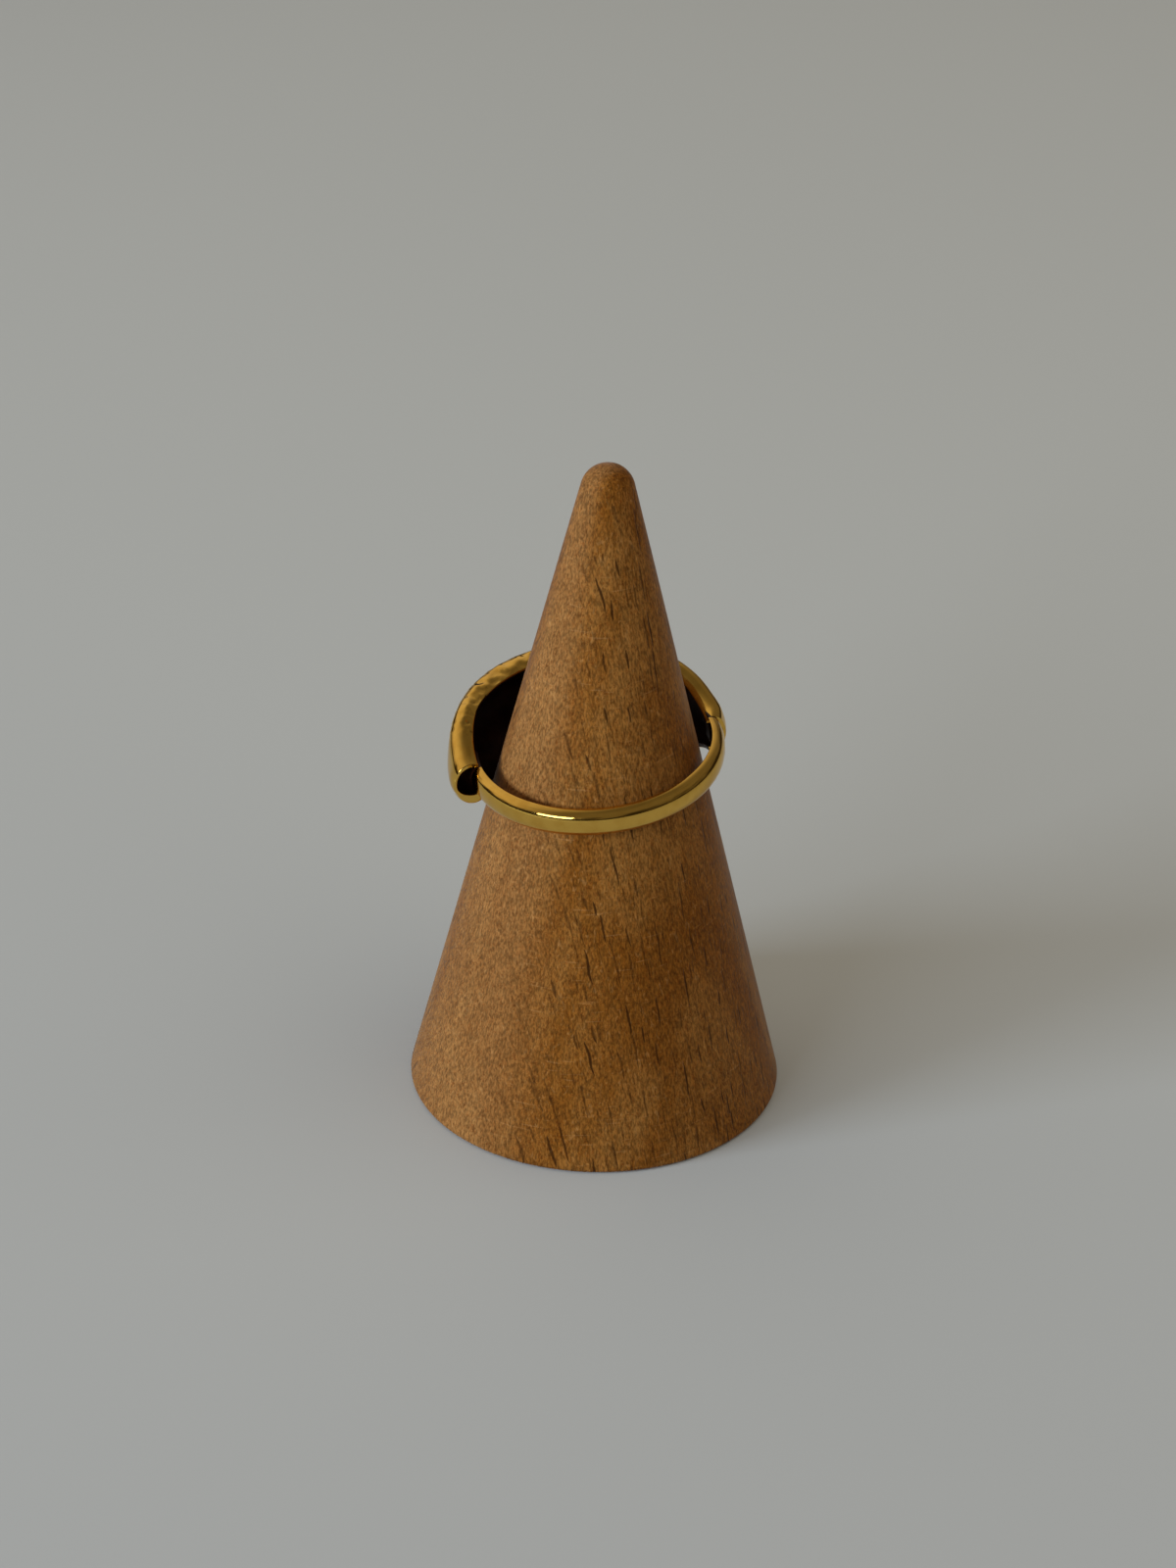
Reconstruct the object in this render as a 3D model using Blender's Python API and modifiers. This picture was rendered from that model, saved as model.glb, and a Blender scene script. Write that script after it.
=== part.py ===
"""A hollow-backed dome ring resting on a plain wooden ring cone.

Units are metres, +Z is up. The origin is the middle of the cone's base, and the ring's
domed front looks towards +Y. Run with: blender --background --python part.py
"""

import math

import bmesh
import bpy
from mathutils import Matrix, Vector

# Cone
CONE_BASE_RADIUS = 0.0140
CONE_HEIGHT = 0.0500
CONE_TIP_RADIUS = 0.00195
CONE_EDGE_RADIUS = 0.0003
CONE_SIDES = 56
CONE_ARC_STEPS = 6

# Ring, measured from the middle of the finger hole
FINGER_RADIUS = 0.0085
BAND_WIDTH = 0.0021
BAND_THICKNESS = 0.00088
SHELL_HEIGHT = 0.0080
SHELL_DEPTH = 0.0033
SHELL_LEAN = 0.15
SHELL_TOP_WALL = 0.0003
SHELL_FRONT_WALL = 0.00025
SHELL_UNDER_WALL = 0.0007
SHELL_CORNER = 0.0005
SHELL_CORNER_END = math.radians(14)
SHELL_INSET = 0.00012

# The right end closes on the band; the left end is cut short and open
SHELL_RIGHT_SPAN = math.radians(94)
SHELL_LEFT_SPAN = math.radians(89)

# The band's ends run on inside the shell, where each rises until it meets the front wall
BAND_RIGHT_TAIL = math.radians(18)
BAND_LEFT_TAIL = math.radians(26)
BAND_TAIL_RISE = math.radians(14)
BAND_TAIL_OVERLAP = 0.0001

# How the ring sits on the cone
RING_TURN = math.radians(18)
RING_FRONT_UP = math.radians(6.0)
RING_RIGHT_UP = math.radians(5.75)
RING_OFF_CENTRE = Vector((-0.00040, 0.00033, 0.0))
SHELL_OFF_BAND = Vector((-0.0002, 0.0, -0.0003))
SHELL_FRONT_DOWN = math.radians(2.6)
SHELL_RIGHT_DOWN = math.radians(0.7)
SEAT_GAP = 0.0003

# Mesh fineness
SHELL_STEPS = 56
BAND_STEPS = 64
BAND_ARC_STEPS = 8
CORNER_STEPS = 3
BULGE_STEPS = 4
HOLLOW_STEPS = 12

# Sections of the shell from its front to its closed end. Share is the angle from the front
# as a share of SHELL_RIGHT_SPAN; height is a share of SHELL_HEIGHT; rim and bulge are depths
# past the finger hole, at the top edge and at mid height, as shares of the shell's depth.
SHELL_SECTIONS = (
    # share, height, rim,  bulge
    (0.00,   1.00,   0.64, 1.00),
    (0.25,   0.98,   0.61, 0.95),
    (0.45,   0.95,   0.53, 0.82),
    (0.62,   0.90,   0.46, 0.65),
    (0.74,   0.74,   0.45, 0.57),
    (0.85,   0.55,   0.46, 0.55),
    (0.93,   0.43,   0.47, 0.54),
    (1.00,   0.35,   0.40, 0.46),
)

BEECH = {"color": (0.24, 0.12, 0.045, 1), "roughness": 0.62, "metallic": 0.0}
GOLD = {"color": (0.80, 0.56, 0.20, 1), "roughness": 0.16, "metallic": 1.0}


def clear_scene():
    for old in list(bpy.data.objects):
        bpy.data.objects.remove(old, do_unlink=True)


def make_collection(name):
    collection = bpy.data.collections.new(name)
    bpy.context.scene.collection.children.link(collection)
    return collection


def make_material(name, look):
    material = bpy.data.materials.new(name)
    material.use_nodes = True
    shader = material.node_tree.nodes["Principled BSDF"]
    shader.inputs["Base Color"].default_value = look["color"]
    shader.inputs["Roughness"].default_value = look["roughness"]
    shader.inputs["Metallic"].default_value = look["metallic"]
    return material


def add_object(name, mesh, collection, material):
    item = bpy.data.objects.new(name, mesh)
    item.data.materials.append(material)
    collection.objects.link(item)
    return item


def shade_round(mesh, sharp_above=35):
    mesh.shade_smooth()
    mesh.set_sharp_from_angle(angle=math.radians(sharp_above))


def arc_points(centre, radius, start, end, steps):
    """Points on an arc in the plane of a profile, both ends included."""
    angles = [start + (end - start) * i / steps for i in range(steps + 1)]
    return [
        (centre[0] + radius * math.cos(a), centre[1] + radius * math.sin(a)) for a in angles
    ]


def cone_half_angle():
    """The lean of the cone's side, whose line touches both the base circle and the tip ball."""
    tip_centre = CONE_HEIGHT - CONE_TIP_RADIUS
    reach = math.hypot(CONE_BASE_RADIUS, tip_centre)
    return math.acos(CONE_TIP_RADIUS / reach) - math.atan2(tip_centre, CONE_BASE_RADIUS)


def cone_radius_at(height):
    return CONE_BASE_RADIUS - height * math.tan(cone_half_angle())


def cone_profile():
    """Half outline from the tip down the outer side to the middle of the base."""
    lean = cone_half_angle()
    tip_centre = (0.0, CONE_HEIGHT - CONE_TIP_RADIUS)
    tip = arc_points(tip_centre, CONE_TIP_RADIUS, math.pi / 2, lean, CONE_ARC_STEPS)
    tip[0] = (0.0, CONE_HEIGHT)
    edge_height = CONE_EDGE_RADIUS
    edge_middle = (
        cone_radius_at(edge_height) - CONE_EDGE_RADIUS / math.cos(lean),
        edge_height,
    )
    edge = arc_points(edge_middle, CONE_EDGE_RADIUS, lean, -math.pi / 2, CONE_ARC_STEPS)
    return tip + edge + [(0.0, 0.0)]


def build_cone(collection):
    profile = cone_profile()
    mesh = bpy.data.meshes.new("display_cone")
    mesh.from_pydata(
        [(x, 0.0, z) for x, z in profile],
        [(i, i + 1) for i in range(len(profile) - 1)],
        [],
    )
    cone = add_object("display_cone", mesh, collection, make_material("beech", BEECH))
    turn = cone.modifiers.new("Turn", "SCREW")
    turn.axis = "Z"
    turn.steps = CONE_SIDES
    turn.render_steps = CONE_SIDES
    turn.use_merge_vertices = True
    turn.merge_threshold = 0.00001
    turn.use_smooth_shade = True
    return cone


def smooth_between(rows, share):
    """Each column of the rows at a share, on a curve that bends smoothly through them."""
    last = len(rows) - 2
    index = max(i for i in range(last + 1) if rows[i][0] <= share or i == 0)
    before = rows[max(index - 1, 0)]
    start = rows[index]
    end = rows[index + 1]
    after = rows[min(index + 2, len(rows) - 1)]
    span = end[0] - start[0]
    t = (share - start[0]) / span
    values = []
    for column in range(1, len(start)):
        slope_in = (end[column] - before[column]) / (end[0] - before[0]) * span
        slope_out = (after[column] - start[column]) / (after[0] - start[0]) * span
        if index == 0:
            slope_in = 0.0
        values.append(
            (2 * t**3 - 3 * t**2 + 1) * start[column]
            + (t**3 - 2 * t**2 + t) * slope_in
            + (3 * t**2 - 2 * t**3) * end[column]
            + (t**3 - t**2) * slope_out
        )
    return values


def ring_point(angle, radius, height):
    """A point of the ring: the angle runs from the front towards the right side."""
    return Vector((radius * math.sin(angle), radius * math.cos(angle), height))


def shell_sizes(angle):
    """Half height, rim radius and bulge radius of the shell; its left side stands deeper."""
    height, rim, bulge = smooth_between(SHELL_SECTIONS, abs(angle) / SHELL_RIGHT_SPAN)
    depth = SHELL_DEPTH * (1 - SHELL_LEAN * math.sin(angle))
    return height * SHELL_HEIGHT / 2, FINGER_RADIUS + rim * depth, FINGER_RADIUS + bulge * depth


def outside_line(half, rim_radius, bulge_radius):
    """The shell's outside at a section, from its top finger edge to its bottom one."""
    middle = (rim_radius - SHELL_CORNER, half - SHELL_CORNER)
    corner = arc_points(middle, SHELL_CORNER, math.pi / 2, SHELL_CORNER_END, CORNER_STEPS)
    last_radius, last_height = corner[-1]
    upper = [(FINGER_RADIUS + SHELL_INSET, half)] + corner
    for i in range(1, BULGE_STEPS + 1):
        level = last_height * (1 - i / BULGE_STEPS)
        rise = math.cos(math.pi / 2 * level / last_height)
        upper.append((last_radius + (bulge_radius - last_radius) * rise, level))
    return upper + [(radius, -level) for radius, level in reversed(upper[:-1])]


def hollow_line(half, bulge_radius):
    """The hollow at a section, half an ellipse from its bottom finger edge to its top one."""
    edge = FINGER_RADIUS + SHELL_INSET
    depth = bulge_radius - SHELL_FRONT_WALL - edge
    line = []
    for i in range(HOLLOW_STEPS + 1):
        angle = math.pi * (i / HOLLOW_STEPS - 0.5)
        wall = SHELL_UNDER_WALL if angle < 0 else SHELL_TOP_WALL
        line.append((edge + depth * math.cos(angle), (half - wall) * math.sin(angle)))
    return line


def shell_section(angle):
    """The shell's C-shaped outline at an angle: its outside, then its hollow."""
    half, rim_radius, bulge_radius = shell_sizes(angle)
    return outside_line(half, rim_radius, bulge_radius) + hollow_line(half, bulge_radius)


def shell_rows():
    """Sections from the open left end round the front to the closed right end."""
    lean = Matrix.Rotation(-SHELL_FRONT_DOWN, 3, "X") @ Matrix.Rotation(SHELL_RIGHT_DOWN, 3, "Y")
    sweep = SHELL_LEFT_SPAN + SHELL_RIGHT_SPAN
    rows = []
    for step in range(SHELL_STEPS + 1):
        angle = sweep * step / SHELL_STEPS - SHELL_LEFT_SPAN
        section = shell_section(angle)
        rows.append(
            [lean @ ring_point(angle, radius, level) + SHELL_OFF_BAND for radius, level in section]
        )
    return rows


def band_section(rise):
    """The band's D section: flat on the finger side, domed outside."""
    angles = [math.pi * (i / BAND_ARC_STEPS - 0.5) for i in range(BAND_ARC_STEPS + 1)]
    return [
        (
            FINGER_RADIUS + rise + BAND_THICKNESS * math.cos(a),
            BAND_WIDTH / 2 * math.sin(a),
        )
        for a in angles
    ]


def tail_rise(angle):
    """How far a band end must rise for its dome to reach into the front wall."""
    bulge_radius = shell_sizes(angle)[2]
    wall_inside = bulge_radius - SHELL_FRONT_WALL + SHELL_OFF_BAND.x * math.sin(angle)
    return wall_inside - FINGER_RADIUS - BAND_THICKNESS + BAND_TAIL_OVERLAP


def band_rows():
    """Sections from the right end, inside the shell, round the back to the left end."""
    first = SHELL_RIGHT_SPAN - BAND_RIGHT_TAIL
    last = BAND_LEFT_TAIL - SHELL_LEFT_SPAN + 2 * math.pi
    rows = []
    for step in range(BAND_STEPS + 1):
        angle = first + (last - first) * step / BAND_STEPS
        rise = 0.0
        for end in (first, last):
            share = max(0.0, 1 - abs(angle - end) / BAND_TAIL_RISE)
            rise += tail_rise(min(end, end - 2 * math.pi, key=abs)) * share**2 * (3 - 2 * share)
        rows.append([ring_point(angle, radius, level) for radius, level in band_section(rise)])
    return rows


def loft(name, rows):
    """One closed body through rows of points, each a closed outline, with flat ends."""
    shape = bmesh.new()
    grid = [[shape.verts.new(point) for point in row] for row in rows]
    count = len(grid[0])
    for first, second in zip(grid, grid[1:]):
        for i in range(count):
            j = (i + 1) % count
            shape.faces.new((first[i], first[j], second[j], second[i]))
    shape.faces.new(grid[0][::-1])
    shape.faces.new(grid[-1])
    bmesh.ops.recalc_face_normals(shape, faces=shape.faces)
    mesh = bpy.data.meshes.new(name)
    shape.to_mesh(mesh)
    shape.free()
    shade_round(mesh)
    return mesh


def ring_tilt():
    """How the ring is turned and tilted on the cone, without its place."""
    turn = Matrix.Rotation(RING_TURN, 4, "Z")
    front = Matrix.Rotation(RING_FRONT_UP, 4, "X")
    right = Matrix.Rotation(-RING_RIGHT_UP, 4, "Y")
    return right @ front @ turn


def ring_placement():
    """The ring slides down the cone until its finger side is SEAT_GAP from the wood."""
    across = Matrix.Translation(RING_OFF_CENTRE) @ ring_tilt()
    points = [across @ point for row in shell_rows() + band_rows() for point in row]
    clearance = min(math.hypot(p.x, p.y) - cone_radius_at(p.z) for p in points)
    seat = SEAT_GAP / math.cos(cone_half_angle())
    drop = (seat - clearance) / math.tan(cone_half_angle())
    return Matrix.Translation((0.0, 0.0, drop)) @ across


def build_band(collection):
    """The narrow back band, joined to the shell and so kept out of the render."""
    mesh = loft("ring_band", band_rows())
    band = add_object("ring_band", mesh, collection, make_material("band_gold", GOLD))
    band.hide_render = True
    band.display_type = "WIRE"
    return band


def build_ring(collection, tools):
    """The hollow domed front with the back band joined to it, one cast piece."""
    mesh = loft("dome_ring", shell_rows())
    ring = add_object("dome_ring", mesh, collection, make_material("gold", GOLD))
    band = build_band(tools)
    join = ring.modifiers.new("Band", "BOOLEAN")
    join.operation = "UNION"
    join.solver = "EXACT"
    join.object = band
    placement = ring_placement()
    ring.matrix_world = placement
    band.matrix_world = placement
    return ring


def main():
    clear_scene()
    parts = make_collection("Dome ring on cone")
    tools = make_collection("Joined shapes")
    build_cone(parts)
    build_ring(parts, tools)


main()
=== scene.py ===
"""Looks of a gold-coloured dome ring on a beech ring cone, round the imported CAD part.

Lengths are metres, +Z is up, and +Y is the side that the ring's domed front looks to. The
photographed view is from behind and above. The classes follow the real things: the turned
cone, the ring with its hollow front and its back band, their finishes, and the studio.
"""

import logging
import math
from dataclasses import dataclass, field
from enum import Enum
from typing import Callable, Optional, Sequence, Tuple, Union

import bpy
from mathutils import Matrix, Vector, noise


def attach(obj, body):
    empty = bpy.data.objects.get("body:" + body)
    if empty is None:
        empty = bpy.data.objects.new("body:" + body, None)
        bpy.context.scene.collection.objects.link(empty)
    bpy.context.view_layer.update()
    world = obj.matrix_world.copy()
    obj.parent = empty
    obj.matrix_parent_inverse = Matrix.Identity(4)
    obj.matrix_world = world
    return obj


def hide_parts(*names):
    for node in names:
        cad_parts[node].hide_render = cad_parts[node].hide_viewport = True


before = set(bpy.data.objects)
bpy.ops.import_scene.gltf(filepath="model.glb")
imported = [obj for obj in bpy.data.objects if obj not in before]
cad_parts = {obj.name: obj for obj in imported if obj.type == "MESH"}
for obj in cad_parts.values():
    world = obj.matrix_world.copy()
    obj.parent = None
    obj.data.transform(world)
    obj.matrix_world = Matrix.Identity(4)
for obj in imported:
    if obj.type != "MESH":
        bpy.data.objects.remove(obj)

LOG = logging.getLogger("dome_ring_scene")
MM = 0.001

AIM_HEIGHT = 20 * MM

Colour = Tuple[float, float, float, float]
Ramp = Tuple[float, float, float, float]
Size3 = Tuple[float, float, float]
Socket = bpy.types.NodeSocket
Feed = Union[Socket, float, Tuple[float, ...]]
Point2 = Tuple[float, float]


class Slot(Enum):
    """The record's material slots."""

    GOLD = "gold"
    BEECH = "beech"


class NodeBoard:
    """Short calls for the shader nodes of a material or of the room."""

    def __init__(self, tree: bpy.types.NodeTree) -> None:
        """Takes the node tree that the nodes go into."""
        self.tree = tree

    def add(self, kind: str, **settings: object) -> bpy.types.Node:
        """Adds a node.

        Args:
            kind: the node's Blender type.
            **settings: properties of the node, by name.

        Returns:
            The new node.
        """
        node = self.tree.nodes.new(kind)
        for name, value in settings.items():
            setattr(node, name, value)
        return node

    def feed(self, target: Socket, value: Feed) -> None:
        """Links an output to a socket, or sets the socket to a constant.

        Args:
            target: the input socket.
            value: an output socket or a constant.
        """
        if isinstance(value, bpy.types.NodeSocket):
            self.tree.links.new(value, target)
        else:
            target.default_value = value

    def sum(self, kind: str, first: Feed, second: Feed = 0.0, third: Feed = 0.0) -> Socket:
        """Works out one number.

        Args:
            kind: the operation of a Math node.
            first: its first input.
            second: its second input.
            third: its third input.

        Returns:
            The result.
        """
        node = self.add("ShaderNodeMath", operation=kind)
        for target, value in zip(node.inputs, (first, second, third)):
            self.feed(target, value)
        return node.outputs[0]

    def between(
        self,
        value: Feed,
        low: Feed,
        high: Feed,
        start: Feed = 0.0,
        end: Feed = 1.0,
        kind: str = "SMOOTHSTEP",
    ) -> Socket:
        """Turns a range of numbers into another one, held at its ends.

        Args:
            value: the number that is turned.
            low: where the range starts.
            high: where it ends.
            start: the result at and below low.
            end: the result at and above high.
            kind: the way from one to the other, smooth unless it says otherwise.

        Returns:
            The new number.
        """
        node = self.add("ShaderNodeMapRange", interpolation_type=kind)
        for target, given in zip(node.inputs, (value, low, high, start, end)):
            self.feed(target, given)
        return node.outputs[0]

    def blend(self, share: Feed, first: Feed, second: Feed, kind: str = "MIX") -> Socket:
        """Mixes two colours.

        Args:
            share: how much of the second one.
            first: the first colour.
            second: the second colour.
            kind: the way they are mixed.

        Returns:
            The mixed colour.
        """
        node = self.add("ShaderNodeMix", data_type="RGBA", blend_type=kind)
        self.feed(node.inputs[0], share)
        self.feed(node.inputs[6], first)
        self.feed(node.inputs[7], second)
        return node.outputs[2]

    def noise(
        self,
        vector: Socket,
        detail: float = 2.0,
        rough: float = 0.5,
        warp: float = 0.0,
        scale: float = 1.0,
    ) -> Socket:
        """Soft noise with features of about one cell.

        Args:
            vector: the coordinates.
            detail: how many finer layers it has.
            rough: how strong the finer layers are.
            warp: how far it is pulled about.
            scale: how many times finer it is.

        Returns:
            A number about 0.5.
        """
        node = self.add("ShaderNodeTexNoise")
        self.feed(node.inputs["Vector"], vector)
        self.feed(node.inputs["Scale"], scale)
        self.feed(node.inputs["Detail"], detail)
        self.feed(node.inputs["Roughness"], rough)
        self.feed(node.inputs["Distortion"], warp)
        return node.outputs["Fac"]


class SurfaceBoard(NodeBoard):
    """One material and the calls that only a surface needs."""

    def __init__(self, name: str) -> None:
        """Starts a material.

        Args:
            name: the material's name.
        """
        self.material = bpy.data.materials.new(name)
        self.material.use_nodes = True
        super().__init__(self.material.node_tree)
        self.shader = self.tree.nodes["Principled BSDF"]

    def shade(self, **values: Feed) -> None:
        """Feeds sockets of the surface shader.

        Args:
            **values: the sockets' names in lower case with underscores, and what they get.
        """
        names = {s.name.lower().replace(" ", "_"): s for s in self.shader.inputs}
        for name, value in values.items():
            self.feed(names[name], value)

    def grain(self, cell: Size3, turn: float = 0.0, lean: float = 0.0) -> Socket:
        """Coordinates in the piece's own space, counted in cells of a given size.

        Args:
            cell: the size of a cell along the three directions.
            turn: how far the directions are turned about the upright one.
            lean: how far they are turned about the first one before that.

        Returns:
            The coordinates.
        """
        node = self.add("ShaderNodeMapping", vector_type="TEXTURE")
        node.inputs["Rotation"].default_value = (lean, 0.0, turn)
        node.inputs["Scale"].default_value = cell
        place = self.add("ShaderNodeTexCoord")
        self.feed(node.inputs["Vector"], place.outputs["Object"])
        return node.outputs[0]

    def mark(self, name: str) -> Socket:
        """A number stored on the mesh.

        Args:
            name: the attribute's name.

        Returns:
            The number.
        """
        return self.add("ShaderNodeAttribute", attribute_name=name).outputs["Fac"]

    def relief(self, *layers: Tuple[Socket, float]) -> None:
        """Gives the surface a fine relief.

        Args:
            *layers: each a height from 0 to 1 and the depth in metres that it stands for.
        """
        normal: Optional[Socket] = None
        for height, depth in layers:
            node = self.add("ShaderNodeBump")
            node.inputs["Strength"].default_value = 1.0
            node.inputs["Distance"].default_value = depth
            self.feed(node.inputs["Height"], height)
            if normal is not None:
                self.feed(node.inputs["Normal"], normal)
            normal = node.outputs[0]
        self.feed(self.shader.inputs["Normal"], normal)


@dataclass(frozen=True)
class PolishedGold:
    """The ring's hand-polished gold-coloured metal."""

    colour: Colour = (0.76, 0.465, 0.092, 1.0)
    worn: Colour = (0.60, 0.32, 0.045, 1.0)
    spot: Colour = (0.12, 0.045, 0.008, 1.0)
    smooth: float = 0.06
    dull: float = 0.14
    cloud: float = 1.1 * MM
    wear: Ramp = (0.40, 0.75, 0.0, 0.45)
    scratch: Size3 = (0.05 * MM, 1.4 * MM, 0.06 * MM)
    scratch_turn: float = 0.5
    scratch_lean: float = 0.3
    scratch_marks: Ramp = (0.52, 0.70, 0.0, 0.05)
    speck: float = 0.42 * MM
    speck_marks: Ramp = (0.56, 0.74, 0.0, 1.0)

    def make(self) -> bpy.types.Material:
        """Makes the material.

        Returns:
            The material.
        """
        board = SurfaceBoard("polished_gold")
        clouds = board.noise(board.grain((self.cloud,) * 3), detail=3.0, rough=0.55)
        grooves = board.grain(self.scratch, self.scratch_turn, self.scratch_lean)
        scratches = board.noise(grooves, detail=1.0)
        tone = board.blend(board.between(clouds, *self.wear), self.colour, self.worn)
        specks = board.noise(board.grain((self.speck,) * 3), detail=1.0)
        marks = board.between(specks, *self.speck_marks)
        spots = board.sum("MULTIPLY", marks, board.mark("spotted"))
        polish = board.between(clouds, 0.35, 0.70, self.smooth, self.dull)
        board.shade(
            base_color=board.blend(spots, tone, self.spot),
            metallic=1.0,
            roughness=board.sum("ADD", polish, board.between(scratches, *self.scratch_marks)),
        )
        return board.material


@dataclass(frozen=True)
class PaintedShadeInside:
    """Painted shade for the hollow front: a near-black inside, also laid on its bottom lip and on
    the band's ends in the hollow.
    """

    colour: Colour = (0.045, 0.012, 0.004, 1.0)
    brown: Colour = (0.015, 0.003, 0.002, 1.0)
    metal: float = 0.6
    roughness: float = 0.42
    cloud: float = 1.5 * MM
    unevenness: float = 0.03 * MM

    def make(self) -> bpy.types.Material:
        """Makes the material.

        Returns:
            The material.
        """
        board = SurfaceBoard("gold_inside")
        clouds = board.noise(board.grain((self.cloud,) * 3), detail=3.0, rough=0.6)
        board.shade(
            base_color=board.blend(board.between(clouds, 0.35, 0.7), self.colour, self.brown),
            metallic=self.metal,
            roughness=self.roughness,
        )
        board.relief((clouds, self.unevenness))
        return board.material


@dataclass(frozen=True)
class RayEnds:
    """One layer of short dark streaks, at most one to a cell of the wood."""

    across: float
    along: float
    half_width: float
    reach: float
    share: float
    darkness: float
    least_reach: float = 0.35
    least_darkness: float = 0.55
    soft_edge: Tuple[float, float] = (0.35, 1.2)
    tip_fade: float = 0.2


@dataclass(frozen=True)
class Beech:
    """Turned and sanded beech, its grain nearly along the cone.

    The rays run towards ray_turn. Where the surface faces that way, their ends show as thin
    dark streaks; where it faces across them, they show as soft ripples.
    """

    ray_turn: float = math.radians(-52)
    lean: float = math.radians(3)
    light: Colour = (0.285, 0.130, 0.030, 1.0)
    # side: a paler, duller tone on faces across the rays, painted sheen for the window-lit left
    # side of the cone.
    side: Colour = (0.290, 0.150, 0.056, 1.0)
    dark: Colour = (0.170, 0.056, 0.004, 1.0)
    streak: Colour = (0.030, 0.010, 0.002, 1.0)
    line: Colour = (0.64, 0.44, 0.30, 1.0)
    pale: Colour = (0.42, 0.22, 0.080, 1.0)
    roughness: float = 0.46
    roughness_spread: float = 0.08
    gloss: float = 0.04
    sheen: float = 0.16
    sheen_roughness: float = 0.35
    faces_rays: Tuple[float, float] = (0.18, 0.66)
    layer_cell: Size3 = (3.0, 9.0, 24.0)
    layer_tone: Ramp = (0.35, 0.65, 0.15, 0.80)
    band_cell: Size3 = (1.2, 0.70, 4.5)
    band_tone: Ramp = (0.42, 0.72, 0.0, 0.50)
    ripple_cell: Size3 = (0.45, 1.1, 0.50)
    ripple_tone: Ramp = (0.46, 0.60, 0.0, 0.36)
    painted_sheen_share: float = 0.45
    fibre_cell: Size3 = (0.45, 0.45, 1.1)
    line_tone: Ramp = (0.0, 0.035, 0.80, 0.0)
    fibre_tone: Ramp = (0.60, 0.70, 0.0, 0.25)
    lathe_cell: Size3 = (2.6, 2.6, 0.16)
    lathe_tone: Ramp = (0.66, 0.78, 0.0, 0.30)
    lathe_depth: float = 0.006 * MM
    grit_cell: Size3 = (0.15, 0.15, 0.50)
    grit_tone: Ramp = (0.25, 0.75, 0.64, 1.48)
    grit_depth: float = 0.025 * MM
    mottle_cell: Size3 = (0.8, 0.8, 1.1)
    mottle_tone: Ramp = (0.25, 0.75, 0.92, 1.10)
    ray_depth: float = 9.0
    bend_cell: Size3 = (9.0, 1.2, 1.6)
    bend: float = 0.08
    cut_depth: float = 0.03 * MM
    ray_ends: Tuple[RayEnds, ...] = (
        RayEnds(1.25, 3.3, 0.090, 0.48, 0.95, 0.86),
        RayEnds(0.90, 2.2, 0.065, 0.42, 0.80, 0.50),
    )

    def make(self) -> bpy.types.Material:
        """Makes the material.

        Returns:
            The material.
        """
        board = SurfaceBoard("turned_beech")
        layers = board.noise(self.cells(board, self.layer_cell), detail=2.0, warp=0.6)
        bands = board.noise(self.cells(board, self.band_cell), detail=3.0, rough=0.65, warp=0.8)
        grit = board.noise(self.cells(board, self.grit_cell), detail=1.0, rough=0.7)
        fibres = board.noise(self.cells(board, self.fibre_cell), detail=2.0, rough=0.6, warp=1.6)
        mottle = board.noise(self.cells(board, self.mottle_cell), detail=2.0, rough=0.6)
        ripples = board.noise(self.cells(board, self.ripple_cell), detail=3.0, rough=0.6, warp=2.2)
        lathe = board.noise(self.cells(board, self.lathe_cell), detail=1.0, warp=0.4)
        facing = self.facing_rays(board)
        across = board.sum("SUBTRACT", 1.0, facing)
        streaks = self.streaks(board, facing)

        tone = board.blend(board.between(layers, *self.layer_tone), self.light, self.dark)
        tone = board.blend(board.between(bands, *self.band_tone), tone, self.dark)
        waves = board.sum("MULTIPLY", board.between(ripples, *self.ripple_tone), across)
        tone = board.blend(waves, tone, self.dark)
        # Painted sheen: faces across the rays, the window-lit left side among them, blend towards
        # the paler side tone.
        tone = board.blend(board.sum("MULTIPLY", across, self.painted_sheen_share), tone, self.side)
        off_line = board.sum("ABSOLUTE", board.sum("SUBTRACT", fibres, 0.5))
        tone = board.blend(board.between(off_line, *self.line_tone), tone, self.line, "MULTIPLY")
        tone = board.blend(board.between(fibres, *self.fibre_tone), tone, self.pale)
        tone = board.blend(board.between(lathe, *self.lathe_tone), tone, self.pale)
        for layer, ramp in ((grit, self.grit_tone), (mottle, self.mottle_tone)):
            shade = self.grey(board, board.between(layer, *ramp))
            tone = board.blend(1.0, tone, shade, "MULTIPLY")
        tone = board.blend(streaks, tone, self.streak)
        board.shade(
            base_color=tone,
            roughness=board.between(
                grit,
                0.3,
                0.7,
                self.roughness - self.roughness_spread,
                self.roughness + self.roughness_spread,
            ),
            specular_ior_level=self.gloss,
            sheen_weight=self.sheen,
            sheen_roughness=self.sheen_roughness,
        )
        cut = board.sum("SUBTRACT", 1.0, streaks)
        board.relief((grit, self.grit_depth), (lathe, self.lathe_depth), (cut, self.cut_depth))
        return board.material

    def cells(self, board: SurfaceBoard, cell: Size3) -> Socket:
        """Coordinates in cells that lie in the wood's own directions.

        Args:
            board: the material's board.
            cell: its size along the rays, the growth layers and the grain, in millimetres.

        Returns:
            The coordinates.
        """
        ray, around, along = cell
        return board.grain((ray * MM, around * MM, along * MM), self.ray_turn, self.lean)

    def facing_rays(self, board: SurfaceBoard) -> Socket:
        """How squarely the surface faces along the rays.

        Args:
            board: the material's board.

        Returns:
            A number from 0 to 1.
        """
        node = board.add("ShaderNodeVectorMath", operation="DOT_PRODUCT")
        board.feed(node.inputs[0], board.add("ShaderNodeTexCoord").outputs["Normal"])
        board.feed(node.inputs[1], (math.cos(self.ray_turn), math.sin(self.ray_turn), 0.0))
        return board.between(board.sum("ABSOLUTE", node.outputs["Value"]), *self.faces_rays)

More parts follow.
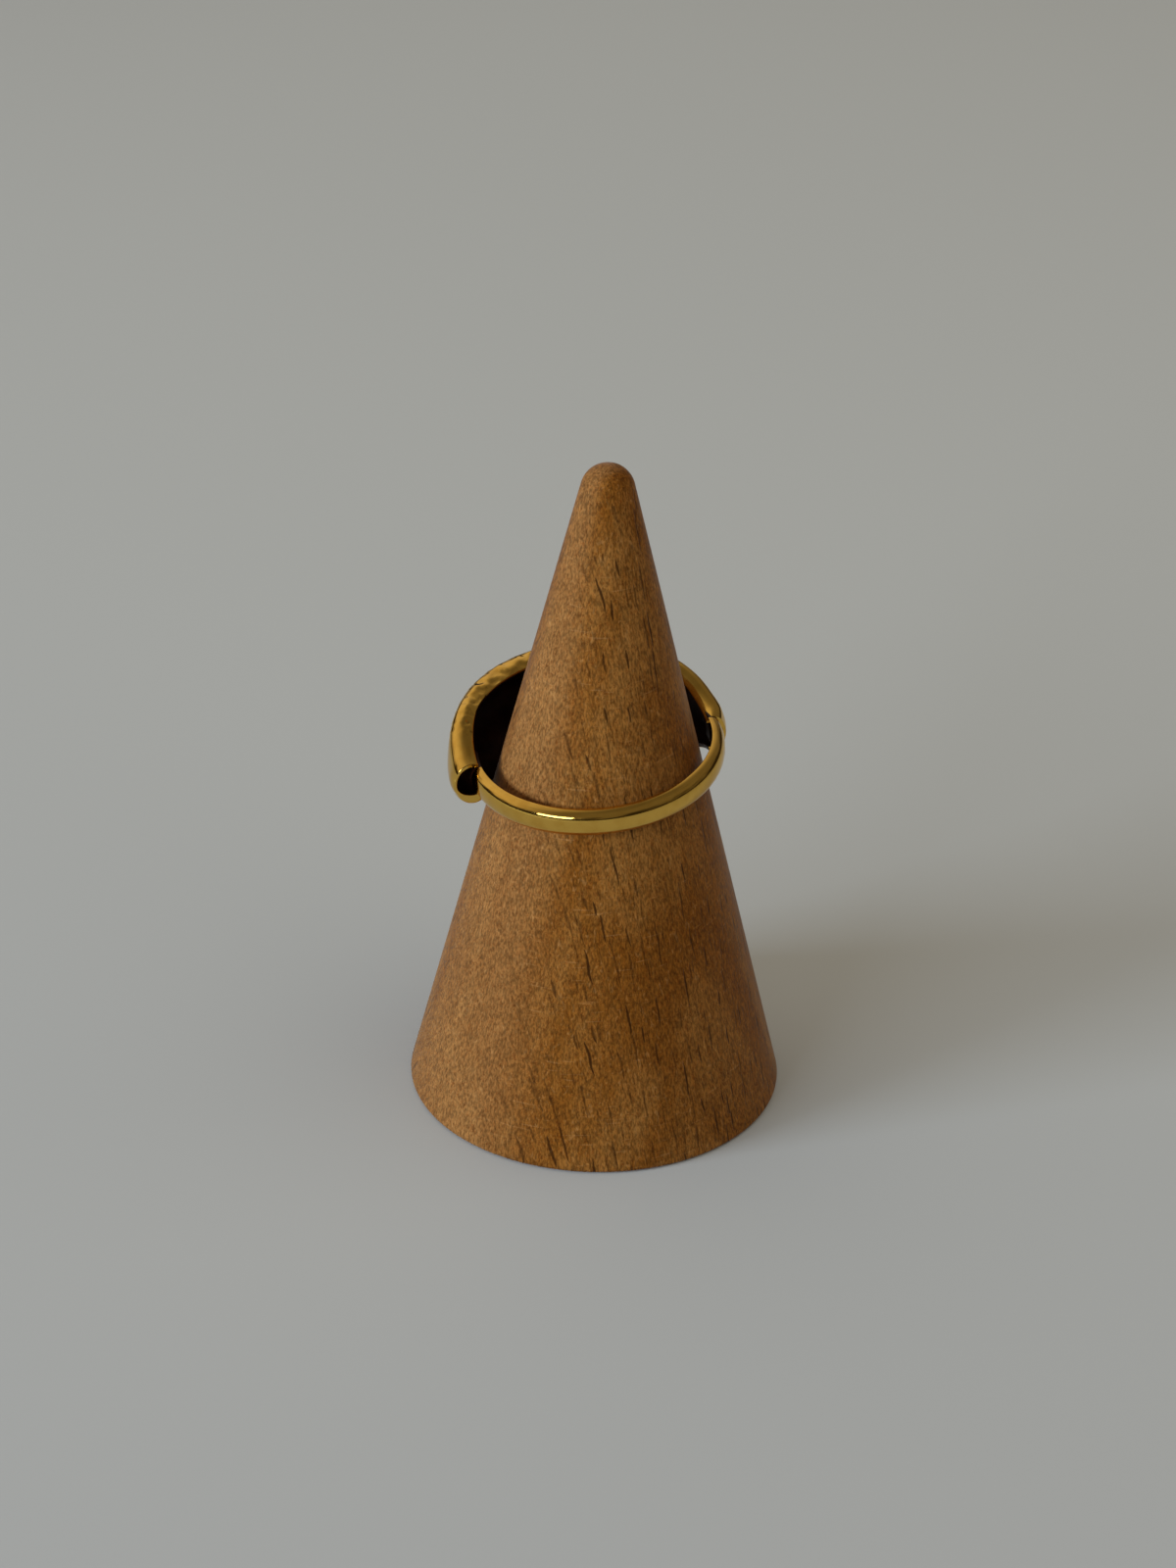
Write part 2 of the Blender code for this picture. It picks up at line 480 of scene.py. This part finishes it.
    def streaks(self, board: SurfaceBoard, facing: Socket) -> Socket:
        """All layers of ray ends together.

        Args:
            board: the material's board.
            facing: how squarely the surface faces along the rays.

        Returns:
            How dark each place is, from 0 to 1.
        """
        total: Feed = 0.0
        for ends in self.ray_ends:
            total = board.sum("MAXIMUM", total, self.streak_layer(board, ends))
        return board.sum("MULTIPLY", total, facing)

    def streak_layer(self, board: SurfaceBoard, ends: RayEnds) -> Socket:
        """Thin streaks, each tapering to both its ends.

        Args:
            board: the material's board.
            ends: the layer.

        Returns:
            How dark each place is, from 0 to 1.
        """
        split = board.add("ShaderNodeSeparateXYZ")
        board.feed(split.inputs[0], self.cells(board, (self.ray_depth, ends.across, ends.along)))
        flat = board.add("ShaderNodeCombineXYZ")
        board.feed(flat.inputs["X"], split.outputs["Y"])
        board.feed(flat.inputs["Y"], split.outputs["Z"])
        place = flat.outputs[0]
        cell = board.add("ShaderNodeTexVoronoi", voronoi_dimensions="2D")
        board.feed(cell.inputs["Vector"], place)
        board.feed(cell.inputs["Scale"], 1.0)
        gap = board.add("ShaderNodeVectorMath", operation="SUBTRACT")
        board.feed(gap.inputs[0], place)
        board.feed(gap.inputs[1], cell.outputs["Position"])
        parts = board.add("ShaderNodeSeparateXYZ")
        board.feed(parts.inputs[0], gap.outputs[0])
        chance = board.add("ShaderNodeSeparateColor")
        board.feed(chance.inputs[0], cell.outputs["Color"])
        bend = board.noise(self.cells(board, self.bend_cell), detail=0.0)
        sway = board.between(bend, 0.0, 1.0, -self.bend, self.bend)
        aside = board.sum("ADD", parts.outputs["X"], sway)
        reach = board.between(
            chance.outputs["Green"], 0.0, 1.0, ends.least_reach * ends.reach, ends.reach
        )
        share = board.sum("DIVIDE", parts.outputs["Y"], reach)
        taper = board.sum("SUBTRACT", 1.0, board.sum("MULTIPLY", share, share))
        half_width = ends.half_width / ends.across
        edge = board.sum("MULTIPLY", board.sum("MAXIMUM", taper, 0.0), half_width)
        core, rim = ends.soft_edge
        body = board.between(
            board.sum("ABSOLUTE", aside),
            board.sum("MULTIPLY", edge, core),
            board.sum("ADD", board.sum("MULTIPLY", edge, rim), 0.002),
            1.0,
            0.0,
        )
        least = 1 - ends.share
        present = board.between(chance.outputs["Red"], least, least + 0.02)
        strength = board.between(
            chance.outputs["Blue"], 0.0, 1.0, ends.least_darkness * ends.darkness, ends.darkness
        )
        present = board.sum("MULTIPLY", present, strength)
        tip = board.between(taper, 0.0, ends.tip_fade)
        return board.sum("MULTIPLY", board.sum("MULTIPLY", body, present), tip)

    def grey(self, board: SurfaceBoard, value: Socket) -> Socket:
        """A grey of a given brightness.

        Args:
            board: the material's board.
            value: the brightness.

        Returns:
            The grey as a colour.
        """
        node = board.add("ShaderNodeCombineColor")
        for target in node.inputs:
            board.feed(target, value)
        return node.outputs[0]


@dataclass(frozen=True)
class PaleCard:
    """The matt pale floor with painted shade: a little darker away from its middle, for the light
    falling off.
    """

    colour: Colour = (0.560, 0.590, 0.585, 1.0)
    shade: Colour = (0.490, 0.517, 0.525, 1.0)
    middle: Size3 = (20 * MM, 190 * MM, 0.0)
    near: float = 60 * MM
    far: float = 330 * MM
    roughness: float = 0.9
    gloss: float = 0.2

    def make(self) -> bpy.types.Material:
        """Makes the material.

        Returns:
            The material.
        """
        board = SurfaceBoard("pale_card")
        place = board.add("ShaderNodeTexCoord").outputs["Object"]
        away = board.add("ShaderNodeVectorMath", operation="DISTANCE")
        board.feed(away.inputs[0], place)
        board.feed(away.inputs[1], self.middle)
        # Painted shade: the floor turns from colour to shade with distance from the middle.
        share = board.between(away.outputs["Value"], self.near, self.far)
        board.shade(
            base_color=board.blend(share, self.colour, self.shade),
            roughness=self.roughness,
            specular_ior_level=self.gloss,
        )
        return board.material


def add_piece(
    name: str,
    points: Sequence[Vector],
    faces: Sequence[Sequence[int]],
    materials: Sequence[bpy.types.Material],
) -> bpy.types.Object:
    """Makes a smooth-shaded mesh piece.

    Args:
        name: the piece's name.
        points: its corners.
        faces: its faces, as numbers of corners.
        materials: its materials.

    Returns:
        The new object, linked to the scene.
    """
    mesh = bpy.data.meshes.new(name)
    mesh.from_pydata([tuple(p) for p in points], [], faces)
    for material in materials:
        mesh.materials.append(material)
    mesh.shade_smooth()
    piece = bpy.data.objects.new(name, mesh)
    bpy.context.scene.collection.objects.link(piece)
    return piece


def dress(piece: bpy.types.Object, node: str) -> None:
    """Lets a piece ride on the part and stand for its CAD node.

    Args:
        piece: the piece.
        node: the CAD node that it stands for.
    """
    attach(piece, "root")
    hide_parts(node)
    LOG.info("%s: %d faces, stands for %s", piece.name, len(piece.data.polygons), node)


def arc(middle: Point2, radius: float, start: float, end: float, steps: int) -> list[Point2]:
    """Points along an arc in the plane of a section.

    Args:
        middle: the arc's middle.
        radius: its radius.
        start: the angle of its first point.
        end: the angle of its last point.
        steps: the number of its stretches.

    Returns:
        The points, both ends included.
    """
    angles = [start + (end - start) * i / steps for i in range(steps + 1)]
    return [(middle[0] + radius * math.cos(a), middle[1] + radius * math.sin(a)) for a in angles]


def ease(share: float) -> float:
    """A smooth step from 0 to 1, held at its ends."""
    held = min(1.0, max(0.0, share))
    return held * held * (3 - 2 * held)


@dataclass
class DisplayCone:
    """The turned wooden cone that carries the ring."""

    base_radius: float = 14.0 * MM
    height: float = 50.0 * MM
    tip_radius: float = 1.95 * MM
    edge_radius: float = 0.30 * MM
    rows: int = 90
    sides: int = 200
    tip_steps: int = 14
    edge_steps: int = 8
    finish: Beech = field(default_factory=Beech)

    def lean(self) -> float:
        """The side's angle from upright, where it touches the base circle and the tip ball."""
        tip_middle = self.height - self.tip_radius
        reach = math.hypot(self.base_radius, tip_middle)
        return math.acos(self.tip_radius / reach) - math.atan2(tip_middle, self.base_radius)

    def outline(self) -> list[Point2]:
        """Half the cone's outline.

        Returns:
            Radius and height of each point, from the tip to the base's edge.
        """
        lean = self.lean()
        ball = (0.0, self.height - self.tip_radius)
        tip = arc(ball, self.tip_radius, math.pi / 2, lean, self.tip_steps)
        reach = self.base_radius - self.edge_radius * (math.tan(lean) + 1 / math.cos(lean))
        foot = (reach, self.edge_radius)
        edge = arc(foot, self.edge_radius, lean, -math.pi / 2, self.edge_steps)
        (top_radius, top), (low_radius, low) = tip[-1], edge[0]
        side = [
            (
                top_radius + (low_radius - top_radius) * i / self.rows,
                top + (low - top) * i / self.rows,
            )
            for i in range(1, self.rows)
        ]
        return tip[1:] + side + edge

    def build(self) -> bpy.types.Object:
        """Turns the outline into the cone and dresses it.

        Returns:
            The cone.
        """
        outline = self.outline()
        points = [
            Vector((radius * math.cos(turn), radius * math.sin(turn), height))
            for radius, height in outline
            for turn in (2 * math.pi * i / self.sides for i in range(self.sides))
        ]
        tip = len(points)
        points += [Vector((0.0, 0.0, self.height)), Vector((0.0, 0.0, 0.0))]
        last = (len(outline) - 1) * self.sides
        faces: list[tuple[int, ...]] = []
        for i in range(self.sides):
            j = (i + 1) % self.sides
            faces.append((tip, i, j))
            faces.append((tip + 1, last + j, last + i))
            for row in range(0, last, self.sides):
                faces.append((row + i, row + self.sides + i, row + self.sides + j, row + j))
        cone = add_piece("beech_cone", points, faces, [self.finish.make()])
        dress(cone, "display_cone")
        return cone


@dataclass(frozen=True)
class Seat:
    """How the ring sits on the cone."""

    place: Vector = field(default_factory=lambda: Vector((-0.40, 0.33, 27.141)) * MM)
    turn: float = math.radians(18)
    front_up: float = math.radians(6.0)
    right_up: float = math.radians(5.75)

    def matrix(self) -> Matrix:
        """The way from the ring's own space to the part's.

        Returns:
            The matrix.
        """
        turn = Matrix.Rotation(self.turn, 4, "Z")
        front = Matrix.Rotation(self.front_up, 4, "X")
        right = Matrix.Rotation(-self.right_up, 4, "Y")
        return Matrix.Translation(self.place) @ right @ front @ turn


@dataclass(frozen=True)
class FrontForm:
    """The front's form at one place between its middle and its right end."""

    share: float
    height: float
    rim: float
    bulge: float

    def numbers(self) -> Tuple[float, float, float, float]:
        """The fields in order."""
        return self.share, self.height, self.rim, self.bulge


@dataclass
class DomedFront:
    """The hollow front: open to the finger and at its left end, closed at its right end."""

    finger_radius: float = 8.5 * MM
    height: float = 8.0 * MM
    depth: float = 3.3 * MM
    left_extra: float = 0.08
    top_wall: float = 0.52 * MM
    end_thin: float = 0.24 * MM
    front_wall: float = 0.25 * MM
    under_wall: float = 0.70 * MM
    corner: float = 0.75 * MM
    end_corner: float = 1.25 * MM
    lip: float = 0.14 * MM
    crown: float = 0.24 * MM
    inset: float = 0.04 * MM
    right_span: float = math.radians(94)
    left_span: float = math.radians(89)
    aside: Vector = field(default_factory=lambda: Vector((-0.2, 0.0, -0.3)) * MM)
    front_down: float = math.radians(2.6)
    right_down: float = math.radians(0.7)
    rows: int = 360
    lip_steps: int = 5
    flat_steps: int = 8
    bend_steps: int = 12
    side_steps: int = 16
    hollow_steps: int = 16
    bend_end: float = math.radians(14)
    end_crown: float = 0.6
    curl: float = 0.45
    low_drop: float = 0.40 * MM
    drop_start: float = math.radians(70)
    drop_span: float = math.radians(25)
    hammer_depth: float = 0.14 * MM
    hammer_size: float = 0.72 * MM
    fine_dents: float = 0.25
    fine_times: float = 2.1
    calm_start: float = math.radians(25)
    calm_span: float = math.radians(30)
    side_calm: float = 0.75
    smooth_end: float = math.radians(17)
    side_fade: Point2 = (10, 8)
    lip_fade: Point2 = (3, 5)
    spots_start: Point2 = (1.40, 0.15)
    spots_end: Point2 = (-0.4, 0.5)
    spots_fade: int = 12
    edge_rounding: float = 0.05 * MM
    forms: Tuple[FrontForm, ...] = (
        FrontForm(0.00, 1.00, 0.64, 1.00),
        FrontForm(0.25, 0.98, 0.61, 0.95),
        FrontForm(0.45, 0.95, 0.53, 0.82),
        FrontForm(0.62, 0.90, 0.48, 0.65),
        FrontForm(0.74, 0.74, 0.52, 0.61),
        FrontForm(0.85, 0.55, 0.53, 0.60),
        FrontForm(0.93, 0.43, 0.53, 0.59),
        FrontForm(1.00, 0.35, 0.42, 0.48),
    )

    def form_at(self, share: float) -> FrontForm:
        """The form at any place, on a curve that bends smoothly through the listed ones.

        Args:
            share: the angle from the middle as a share of the right span.

        Returns:
            The form there.
        """
        rows = [form.numbers() for form in self.forms]
        index = max(i for i in range(len(rows) - 1) if rows[i][0] <= share or i == 0)
        before, start, end = rows[max(index - 1, 0)], rows[index], rows[index + 1]
        after = rows[min(index + 2, len(rows) - 1)]
        span = end[0] - start[0]
        t = (share - start[0]) / span
        values = []
        for column in range(1, 4):
            slope_in = (end[column] - before[column]) / (end[0] - before[0]) * span
            slope_out = (after[column] - start[column]) / (after[0] - start[0]) * span
            if index == 0:
                slope_in = 0.0
            values.append(
                (2 * t**3 - 3 * t**2 + 1) * start[column]
                + (t**3 - 2 * t**2 + t) * slope_in
                + (3 * t**2 - 2 * t**3) * end[column]
                + (t**3 - t**2) * slope_out
            )
        return FrontForm(share, *values)

    def sizes_at(self, angle: float) -> Tuple[float, float, float]:
        """Half height, rim radius and bulge radius at an angle from the middle.

        Args:
            angle: the angle, to the right.

        Returns:
            The three sizes.
        """
        form = self.form_at(abs(angle) / self.right_span)
        depth = self.depth * (1 - self.left_extra * math.sin(angle))
        return (
            form.height * self.height / 2,
            self.finger_radius + form.rim * depth,
            self.finger_radius + form.bulge * depth,
        )

    def lower(self, angle: float, half: float) -> float:
        """How much further the bottom half reaches than the top one, as a factor."""
        return 1 + self.low_drop / half * ease((angle + self.drop_start) / self.drop_span)

    def near_end(self, angle: float) -> float:
        """How near an angle is to the open end, from 0 to 1."""
        return ease((-angle - self.left_span + 2 * self.smooth_end) / (2 * self.smooth_end))

    def outside(self, angle: float) -> list[Point2]:
        """The outside at an angle.

        Args:
            angle: the angle from the middle, to the right.

        Returns:
            Radius and level of each point, from the top finger edge to the bottom one.
        """
        half, rim, bulge = self.sizes_at(angle)
        edge = self.finger_radius + self.inset
        start = edge + self.lip
        near_end = self.near_end(angle)
        corner = self.corner + (self.end_corner - self.corner) * near_end
        corner = min(corner, 0.9 * (rim - start), 0.8 * half)
        turning = (rim - corner, half - corner)
        bend = arc(turning, corner, math.pi / 2, self.bend_end, self.bend_steps)
        last_radius, last_level = bend[-1]
        crown = min(self.crown, 0.25 * half) * (1 - self.end_crown * near_end)
        slope = math.atan2(2 * crown, rim - corner - start)
        inner = (start, half - crown - self.lip)
        round_lip = arc(inner, self.lip, math.pi, math.pi / 2 + slope, self.lip_steps)
        steps = self.flat_steps
        flat = [
            (start + (rim - corner - start) * i / steps, half - crown * (1 - i / steps) ** 2)
            for i in range(1, steps)
        ]
        upper = round_lip + flat + bend
        for i in range(1, self.side_steps + 1):
            level = last_level * (1 - i / self.side_steps)
            rise = math.cos(math.pi / 2 * level / last_level)
            upper.append((last_radius + (bulge - last_radius) * rise, level))
        lower = self.lower(angle, half)
        return upper + [(radius, -level * lower) for radius, level in reversed(upper[:-1])]

    def hollow(self, angle: float) -> list[Point2]:
        """The hollow at an angle: half an ellipse, which curls in a little at the open end.

        Args:
            angle: the angle from the middle, to the right.

        Returns:
            Radius and level of each point, from the bottom finger edge to the top one.
        """
        half, _, bulge = self.sizes_at(angle)
        near_end = self.near_end(angle)
        edge = self.finger_radius + self.inset
        depth = bulge - self.front_wall - edge
        curl = self.curl * near_end
        widest = math.acos(-curl)
        line = []
        for i in range(2 * self.hollow_steps + 1):
            turn = widest * (i / self.hollow_steps - 1)
            reach = (math.cos(turn) + curl) / (1 + curl)
            if turn < 0:
                top = half * self.lower(angle, half) - self.under_wall
            else:
                top = half - self.top_wall + self.end_thin * near_end
            line.append((edge + depth * reach, top * math.sin(turn)))
        return line

    def lean(self) -> Matrix:
        """How the front leans against the band."""
        front = Matrix.Rotation(-self.front_down, 3, "X")
        return front @ Matrix.Rotation(self.right_down, 3, "Y")

    def roughly(self, point: Vector, angle: float) -> float:
        """How far hammering lifts a point of the outside.

        Args:
            point: the point, in the ring's own space.
            angle: its angle from the middle.

        Returns:
            The lift in metres.
        """
        fade = ease((angle + self.left_span - self.smooth_end / 2) / self.smooth_end)
        calm = 1 - ease((angle - self.calm_start) / self.calm_span)
        large = noise.noise(point / self.hammer_size)
        fine = noise.noise(point * self.fine_times / self.hammer_size)
        return self.hammer_depth * fade * calm * (large + self.fine_dents * fine)

    def work_surface(self, mesh: bpy.types.Mesh, angles: Sequence[float], count: int) -> None:
        """Hammers the outside and marks where its edge is spotted.

        Args:
            mesh: the front's mesh.
            angles: each corner's angle from the middle.
            count: the number of corners in a section.
        """
        out_count = len(self.outside(0.0))
        spotted = mesh.attributes.new("spotted", "FLOAT", "POINT")
        side_from, side_over = self.side_fade
        lip_from, lip_over = self.lip_fade
        start, start_over = self.spots_start
        end, end_over = self.spots_end
        for vertex, angle in zip(mesh.vertices, angles):
            place = vertex.index % count
            if place < out_count:
                side = 1 - self.side_calm * ease((place - side_from) / side_over)
                lip = ease((place - lip_from) / lip_over)
                vertex.co += vertex.normal * (self.roughly(vertex.co, angle) * lip * side)
            near_edge = 1 - ease(place / self.spots_fade)
            along = ease((angle + start) / start_over) * ease((end - angle) / end_over)
            spotted.data[vertex.index].value = near_edge * along

    def build(
        self, seat: Seat, gold: bpy.types.Material, inside: bpy.types.Material
    ) -> bpy.types.Object:
        """Lofts the front, hammers it and dresses it.

        Args:
            seat: how the ring sits.
            gold: the material of its outside.
            inside: the near-black painted shade of its hollow and bottom lip.

        Returns:
            The front.
        """
        lean = self.lean()
        sweep = self.left_span + self.right_span
        points: list[Vector] = []
        angles: list[float] = []
        for row in range(self.rows + 1):
            angle = sweep * row / self.rows - self.left_span
            for radius, level in self.outside(angle) + self.hollow(angle):
                across = Vector((radius * math.sin(angle), radius * math.cos(angle), level))
                points.append(lean @ across + self.aside)
                angles.append(angle)
        painted_shade_from = len(self.outside(0.0)) - self.lip_steps
        count = len(points) // (self.rows + 1)
        faces: list[tuple[int, ...]] = []
        painted_shade_faces: list[bool] = []
        for row in range(self.rows):
            for i in range(count):
                j = (i + 1) % count
                low, high = row * count, (row + 1) * count
                faces.append((low + i, high + i, high + j, low + j))
                # Faces from the bottom lip round through the hollow get painted shade, the
                # near-black inside material.
                painted_shade_faces.append(i >= painted_shade_from)
        faces.append(tuple(range(count)))
        faces.append(tuple(reversed(range(self.rows * count, (self.rows + 1) * count))))
        painted_shade_faces += [False, False]
        front = add_piece("domed_front", points, faces, [gold, inside])
        self.work_surface(front.data, angles, count)
        for face, dark in zip(front.data.polygons, painted_shade_faces):
            face.material_index = 1 if dark else 0
        soften_edges(front, self.edge_rounding)
        front.data.transform(seat.matrix())
        dress(front, "dome_ring")
        return front


def soften_edges(piece: bpy.types.Object, width: float) -> None:
    """Rounds a piece's sharp edges a little.

    Args:
        piece: the piece.
        width: how wide the rounding is.
    """
    bevel = piece.modifiers.new("Soft edges", "BEVEL")
    bevel.width = width
    bevel.segments = 3
    bevel.limit_method = "ANGLE"
    bevel.angle_limit = math.radians(40)
    piece.data.set_sharp_from_angle(angle=math.radians(60))


@dataclass
class BackBand:
    """The narrow band round the back; each end rises inside the front until it meets its wall."""

    front: DomedFront
    width: float = 2.1 * MM
    thickness: float = 0.88 * MM
    squareness: float = 2.35
    right_tail: float = math.radians(18)
    left_tail: float = math.radians(26)
    tail_rise: float = math.radians(14)
    overlap: float = 0.1 * MM
    rows: int = 360
    arc_steps: int = 36
    edge_rounding: float = 0.06 * MM

    def section(self, rise: float) -> list[Point2]:
        """The band's section: flat to the finger, domed outside.

        Args:
            rise: how far it stands off the finger hole.

        Returns:
            Radius and level of each point.
        """
        power = 2 / self.squareness
        line = []
        for i in range(self.arc_steps + 1):
            turn = math.pi * (i / self.arc_steps - 0.5)
            out = max(0.0, math.cos(turn)) ** power
            level = math.copysign(abs(math.sin(turn)) ** power, turn)
            line.append(
                (
                    self.front.finger_radius + rise + self.thickness * out,
                    self.width / 2 * level,
                )
            )
        return line

    def full_rise(self, angle: float) -> float:
        """How far an end rises to reach into the front's wall.

        Args:
            angle: the end's angle from the front's middle.

        Returns:
            The rise in metres.
        """
        bulge = self.front.sizes_at(angle)[2]
        wall = bulge - self.front.front_wall + self.front.aside.x * math.sin(angle)
        return wall - self.front.finger_radius - self.thickness + self.overlap

    def build(
        self, seat: Seat, gold: bpy.types.Material, inside: bpy.types.Material
    ) -> bpy.types.Object:
        """Lofts the band and dresses it.

        Args:
            seat: how the ring sits.
            gold: its material.
            inside: the near-black painted shade of the ends that lie in the hollow.

        Returns:
            The band.
        """
        first = self.front.right_span - self.right_tail
        last = self.left_tail - self.front.left_span + 2 * math.pi
        points: list[Vector] = []
        for row in range(self.rows + 1):
            angle = first + (last - first) * row / self.rows
            rise = self.full_rise(first) * ease(1 - (angle - first) / self.tail_rise)
            rise += self.full_rise(last - 2 * math.pi) * ease(1 - (last - angle) / self.tail_rise)
            points += [
                Vector((radius * math.sin(angle), radius * math.cos(angle), level))
                for radius, level in self.section(rise)
            ]
        count = self.arc_steps + 1
        faces: list[tuple[int, ...]] = []
        painted_shade_faces: list[bool] = []
        for row in range(self.rows):
            angle = first + (last - first) * row / self.rows
            covered = min(angle - first - self.right_tail, last - self.left_tail - angle) < 0
            for i in range(count):
                j = (i + 1) % count
                low, high = row * count, (row + 1) * count
                faces.append((low + i, low + j, high + j, high + i))
                # The band's ends in the hollow get the same painted shade.
                painted_shade_faces.append(covered)
        faces.append(tuple(reversed(range(count))))
        faces.append(tuple(range(self.rows * count, (self.rows + 1) * count)))
        painted_shade_faces += [True, True]
        band = add_piece("back_band", points, faces, [gold, inside])
        for face, dark in zip(band.data.polygons, painted_shade_faces):
            face.material_index = 1 if dark else 0
        soften_edges(band, self.edge_rounding)
        band.data.transform(seat.matrix())
        dress(band, "dome_ring")
        return band


@dataclass
class DomeRing:
    """The ring: its domed front and its back band in one metal, with painted shade inside the
    hollow.
    """

    seat: Seat = field(default_factory=Seat)
    front: DomedFront = field(default_factory=DomedFront)
    outside: PolishedGold = field(default_factory=PolishedGold)
    inside: PaintedShadeInside = field(default_factory=PaintedShadeInside)

    def build(self) -> list[bpy.types.Object]:
        """Builds both pieces.

        Returns:
            The pieces.
        """
        gold, inside = self.outside.make(), self.inside.make()
        return [
            self.front.build(self.seat, gold, inside),
            BackBand(self.front).build(self.seat, gold, inside),
        ]


@dataclass(frozen=True)
class WindowLight:
    """A large soft light, aimed at the part. The metal mirrors it only where in_metal is set."""

    name: str
    azimuth: float
    elevation: float
    distance: float
    width: float
    height: float
    power: float
    colour: Tuple[float, float, float]
    in_metal: bool = True

    def build(self) -> bpy.types.Object:
        """Adds the light. The azimuth runs from the photographed side towards the left.

        Returns:
            The light.
        """
        lamp = bpy.data.lights.new(self.name, "AREA")
        lamp.shape = "RECTANGLE"
        lamp.size, lamp.size_y = self.width, self.height
        lamp.energy = self.power
        lamp.color = self.colour
        flat = self.distance * math.cos(self.elevation)
        light = bpy.data.objects.new(self.name, lamp)
        light.visible_glossy = self.in_metal
        light.location = (
            -flat * math.sin(self.azimuth),
            -flat * math.cos(self.azimuth),
            self.distance * math.sin(self.elevation),
        )
        aim = Vector((0.0, 0.0, AIM_HEIGHT)) - light.location
        light.rotation_euler = aim.to_track_quat("-Z", "Y").to_euler()
        bpy.context.scene.collection.objects.link(light)
        return light


@dataclass
class Studio:
    """The pale floor, the soft light and the camera at the photographed view."""

    floor_size: float = 12.0
    floor_gap: float = 0.02 * MM
    floor: PaleCard = field(default_factory=PaleCard)
    lights: Tuple[WindowLight, ...] = (
        WindowLight(
            name="window",
            azimuth=math.radians(65),
            elevation=math.radians(18),
            distance=1.10,
            width=0.42,
            height=0.27,
            power=8.6,
            colour=(0.78, 0.87, 1.0),
            in_metal=False,
        ),
        WindowLight(
            name="side_window",
            azimuth=math.radians(38),
            elevation=math.radians(20),
            distance=1.15,
            width=0.573,
            height=0.244,
            power=3.8,
            colour=(0.80, 0.88, 1.0),
        ),
        WindowLight(
            name="fill",
            azimuth=math.radians(-75),
            elevation=math.radians(52),
            distance=1.20,
            width=1.6,
            height=1.6,
            power=4.9,
            colour=(1.0, 0.90, 0.76),
            in_metal=False,
        ),
    )
    low_sky: Colour = (0.030, 0.024, 0.017, 1.0)
    high_sky: Colour = (0.70, 0.61, 0.49, 1.0)
    patch_scale: float = 3.2
    patch_lift: Ramp = (0.35, 0.65, -0.16, 0.16)
    rise: Tuple[float, float] = (0.15, 0.48)
    fall: Ramp = (0.80, 1.00, 1.0, 0.75)
    dim_side: Size3 = (0.77, -0.64, 0.0)
    dimming: Ramp = (-0.8, 0.0, 1.0, 0.20)
    backdrop: Colour = (0.36, 0.365, 0.345, 1.0)
    camera_distance: float = 266.7 * MM
    camera_height: float = math.radians(33.48)
    pitch: float = math.radians(28.83)
    yaw: float = math.radians(-0.24)
    roll: float = math.radians(-1.25)
    lens: float = 80.08
    sensor_width: float = 36.0
    nearest: float = 0.01

    def build(self) -> None:
        """Builds the floor, the lights, the sky and the camera."""
        half = self.floor_size / 2
        ends = ((-half, -half), (half, -half), (half, half), (-half, half))
        points = [Vector((x, y, -self.floor_gap)) for x, y in ends]
        floor = add_piece("floor", points, [(0, 1, 2, 3)], [self.floor.make()])
        for light in self.lights:
            light.build()
        self.build_sky()
        self.build_camera()

    def build_sky(self) -> None:
        """A dim room that is dark and patchy low down and light above, behind a pale backdrop."""
        world = bpy.data.worlds.new("room")
        world.use_nodes = True
        board = NodeBoard(world.node_tree)
        place = board.add("ShaderNodeTexCoord").outputs["Generated"]
        split = board.add("ShaderNodeSeparateXYZ")
        board.feed(split.inputs[0], place)
        patches = board.noise(place, scale=self.patch_scale)
        lift = board.between(patches, *self.patch_lift, kind="LINEAR")
        height = board.sum("ADD", split.outputs["Z"], lift)
        lit = board.sum(
            "MULTIPLY", board.between(height, *self.rise), board.between(height, *self.fall)
        )
        towards = board.add("ShaderNodeVectorMath", operation="DOT_PRODUCT")
        board.feed(towards.inputs[0], place)
        board.feed(towards.inputs[1], self.dim_side)
        dim = board.between(towards.outputs["Value"], *self.dimming)
        sky = board.blend(board.sum("MULTIPLY", lit, dim), self.low_sky, self.high_sky)
        seen = board.add("ShaderNodeLightPath").outputs["Is Camera Ray"]
        ground = board.tree.nodes["Background"]
        board.feed(ground.inputs["Color"], board.blend(seen, sky, self.backdrop))
        bpy.context.scene.world = world

    def build_camera(self) -> None:
        """Sets the camera as the photograph's was."""
        level, tilt = math.cos(self.pitch), math.sin(self.pitch)
        forward = Vector((math.sin(self.yaw) * level, math.cos(self.yaw) * level, -tilt))
        right = Vector((math.cos(self.yaw), -math.sin(self.yaw), 0.0))
        down = forward.cross(right)
        turned_right = math.cos(self.roll) * right + math.sin(self.roll) * down
        turned_down = math.cos(self.roll) * down - math.sin(self.roll) * right
        matrix = Matrix((turned_right, -turned_down, -forward)).transposed().to_4x4()
        matrix.translation = Vector(
            (
                0.0,
                -self.camera_distance * math.cos(self.camera_height),
                self.camera_distance * math.sin(self.camera_height),
            )
        )
        data = bpy.data.cameras.new("camera")
        data.sensor_width = self.sensor_width
        data.lens = self.lens
        data.clip_start = self.nearest
        camera = bpy.data.objects.new("camera", data)
        camera.matrix_world = matrix
        bpy.context.scene.collection.objects.link(camera)
        bpy.context.scene.camera = camera


def main() -> None:
    """Builds the piece groups in order."""
    logging.basicConfig(level=logging.INFO, format="%(message)s")
    bpy.context.scene.view_settings.view_transform = "Standard"
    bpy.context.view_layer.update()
    steps: Tuple[Callable[[], object], ...] = (
        Studio().build,
        DisplayCone().build,
        DomeRing().build,
    )
    for step in steps:
        step()


if __name__ == "__main__":
    main()
